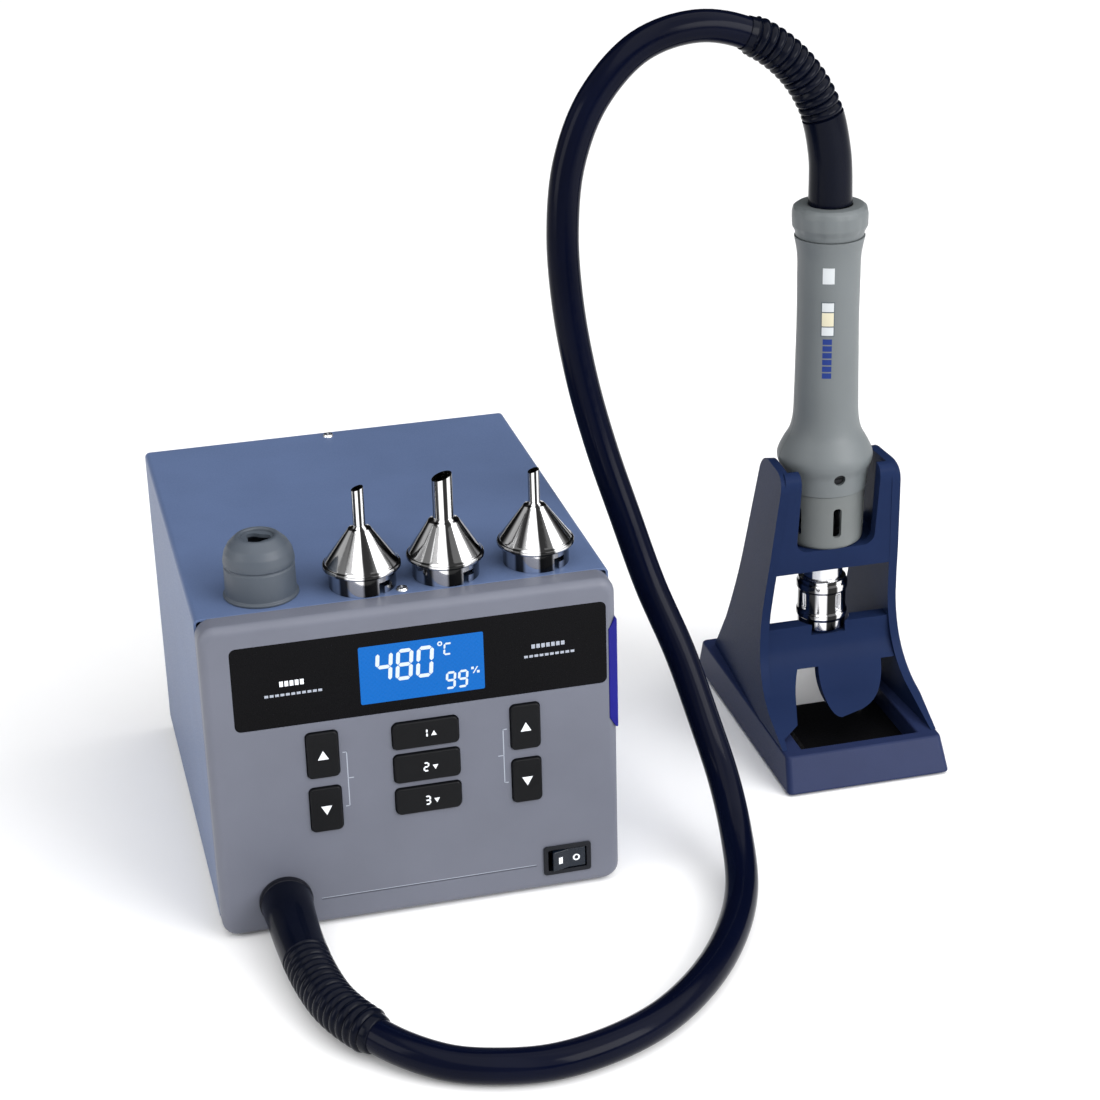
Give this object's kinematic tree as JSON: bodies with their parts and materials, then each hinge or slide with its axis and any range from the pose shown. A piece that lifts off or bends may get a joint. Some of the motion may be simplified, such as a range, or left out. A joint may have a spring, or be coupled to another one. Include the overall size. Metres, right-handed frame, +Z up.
{
  "type": "hot-air rework station",
  "caption": "Bench hot-air rework station: control box with lit display and keys, thick air hose, grey handpiece in a dark-blue stand, loose funnel nozzles on the box.",
  "frame": {"origin": "on the table, under the middle of the whole set without its hose", "axes": "+Z up, -Y towards the front panel, +X from the control box to the stand"},
  "size_m": [0.3763, 0.3707, 0.3816],
  "materials": {
    "case_paint": "satin blue-grey paint",
    "rear_paint": "satin blue-grey paint",
    "chassis_steel": "plain zinc-plated sheet",
    "bezel_plastic": "fine-grained grey moulding",
    "window_black": "gloss smoked acrylic",
    "lcd_blue": "lit blue display",
    "pcb_green": "solder mask",
    "switch_black": "moulded",
    "badge_blue": "plain gloss blue",
    "key_black": "silicone-smooth black",
    "rocker_black": "moulded",
    "gland_black": "moulded",
    "blower_black": "moulded",
    "motor_steel": "drawn can",
    "impeller_white": "moulded",
    "component_mix": "capacitor sleeves and cases",
    "heatsink_alu": "extruded",
    "standoff_brass": "turned",
    "transformer_core": "laminations and tape",
    "inlet_black": "moulded",
    "pin_metal": "plated",
    "foot_rubber": "moulded rubber",
    "screw_steel": "plated",
    "stand_blue": "satin dark-blue moulding",
    "stand_base_blue": "satin dark-blue moulding",
    "ballast_black": "black paint",
    "magnet_grey": "nickel plate",
    "grip_grey": "fine-grained grey moulding",
    "nose_grey": "fine-grained grey moulding",
    "heater_steel": "bright tube",
    "heater_ceramic": "unglazed ceramic",
    "nozzle_chrome": "spun and polished",
    "hose_rubber": "smooth glossy rubber",
    "boot_rubber": "ribbed moulded rubber"
  },
  "bodies": {
    "station": {"top_cover": "case_paint", "base_chassis": "chassis_steel", "rear_panel": "rear_paint", "front_bezel": "bezel_plastic", "display_window": "window_black", "lcd_module": "lcd_blue", "control_board": "pcb_green", "key_switches": "switch_black", "side_badge": "badge_blue", "switch_frame": "switch_black", "hose_gland": "gland_black", "blower_housing": "blower_black", "blower_motor": "motor_steel", "air_duct": "blower_black", "power_board": "pcb_green", "board_components": "component_mix", "triac_heatsink": "heatsink_alu", "board_standoffs": "standoff_brass", "transformer": "transformer_core", "mains_inlet": "inlet_black", "inlet_pins": "pin_metal", "rubber_feet": "foot_rubber", "cover_screws": "screw_steel", "stand_left_wall": "stand_blue", "stand_right_wall": "stand_blue", "stand_front_skin": "stand_blue", "stand_saddle": "stand_blue", "stand_base": "stand_base_blue", "stand_ballast": "ballast_black", "stand_feet": "foot_rubber", "stand_screws": "screw_steel", "sleep_magnet": "magnet_grey", "station_boot": "boot_rubber", "hose_tube": "hose_rubber"},
    "handpiece": {"grip_front_shell": "grip_grey", "grip_rear_shell": "grip_grey", "hose_collar": "grip_grey", "nose_guard": "nose_grey", "heater_tube": "heater_steel", "heater_core": "heater_ceramic", "grip_screw": "screw_steel", "reed_sensor": "pcb_green", "handle_boot": "boot_rubber"},
    "impeller": {"impeller": "impeller_white"},
    "power_rocker": {"power_rocker": "rocker_black"},
    "fuse_drawer": {"fuse_drawer": "inlet_black"},
    "fitted_nozzle": {"fitted_nozzle": "nozzle_chrome"},
    "key_heat_up": {"key_heat_up": "key_black"},
    "key_heat_down": {"key_heat_down": "key_black"},
    "key_preset_one": {"key_preset_one": "key_black"},
    "key_preset_two": {"key_preset_two": "key_black"},
    "key_preset_three": {"key_preset_three": "key_black"},
    "key_air_up": {"key_air_up": "key_black"},
    "key_air_down": {"key_air_down": "key_black"},
    "small_nozzle": {"small_nozzle": "nozzle_chrome"},
    "wide_nozzle": {"wide_nozzle": "nozzle_chrome"},
    "fine_nozzle": {"fine_nozzle": "nozzle_chrome"},
    "spare_nose_cap": {"spare_nose_cap": "nose_grey"}
  },
  "joints": [
    {"name": "handpiece_lift", "type": "slide", "parent": "station", "child": "handpiece", "axis": [0, 0, 1], "range_m": [0, 0.1], "deforming": ["hose_tube"]},
    {"name": "nozzle_twist", "type": "hinge", "parent": "handpiece", "child": "fitted_nozzle", "pos_m": [0.145, 0.015, 0.07], "axis": [0, 0, 1], "range_deg": [0, 30]},
    {"name": "impeller_spin", "type": "hinge", "parent": "station", "child": "impeller", "pos_m": [-0.1285, 0.023, 0.03], "axis": [0, 0, 1], "continuous": true},
    {"name": "rocker_tilt", "type": "hinge", "parent": "station", "child": "power_rocker", "pos_m": [-0.0256, -0.1056, 0.0164], "axis": [0, 0, 1], "range_deg": [-16, 0]},
    {"name": "fuse_slide", "type": "slide", "parent": "station", "child": "fuse_drawer", "axis": [0, 1, 0], "range_m": [0, 0.014]},
    {"name": "key_heat_up_press", "type": "slide", "parent": "station", "child": "key_heat_up", "axis": [0, 1, 0], "range_m": [0, 0.001], "stiffness_N_per_m": 300},
    {"name": "key_heat_down_press", "type": "slide", "parent": "station", "child": "key_heat_down", "axis": [0, 1, 0], "range_m": [0, 0.001], "stiffness_N_per_m": 300},
    {"name": "key_preset_one_press", "type": "slide", "parent": "station", "child": "key_preset_one", "axis": [0, 1, 0], "range_m": [0, 0.001], "stiffness_N_per_m": 300},
    {"name": "key_preset_two_press", "type": "slide", "parent": "station", "child": "key_preset_two", "axis": [0, 1, 0], "range_m": [0, 0.001], "stiffness_N_per_m": 300},
    {"name": "key_preset_three_press", "type": "slide", "parent": "station", "child": "key_preset_three", "axis": [0, 1, 0], "range_m": [0, 0.001], "stiffness_N_per_m": 300},
    {"name": "key_air_up_press", "type": "slide", "parent": "station", "child": "key_air_up", "axis": [0, 1, 0], "range_m": [0, 0.001], "stiffness_N_per_m": 300},
    {"name": "key_air_down_press", "type": "slide", "parent": "station", "child": "key_air_down", "axis": [0, 1, 0], "range_m": [0, 0.001], "stiffness_N_per_m": 300},
    {"name": "small_nozzle_lift", "type": "slide", "parent": "station", "child": "small_nozzle", "axis": [0, 0, 1], "range_m": [0, 0.08]},
    {"name": "wide_nozzle_lift", "type": "slide", "parent": "station", "child": "wide_nozzle", "axis": [0, 0, 1], "range_m": [0, 0.08]},
    {"name": "fine_nozzle_lift", "type": "slide", "parent": "station", "child": "fine_nozzle", "axis": [0, 0, 1], "range_m": [0, 0.08]},
    {"name": "spare_nose_cap_lift", "type": "slide", "parent": "station", "child": "spare_nose_cap", "axis": [0, 0, 1], "range_m": [0, 0.08]}
  ]
}
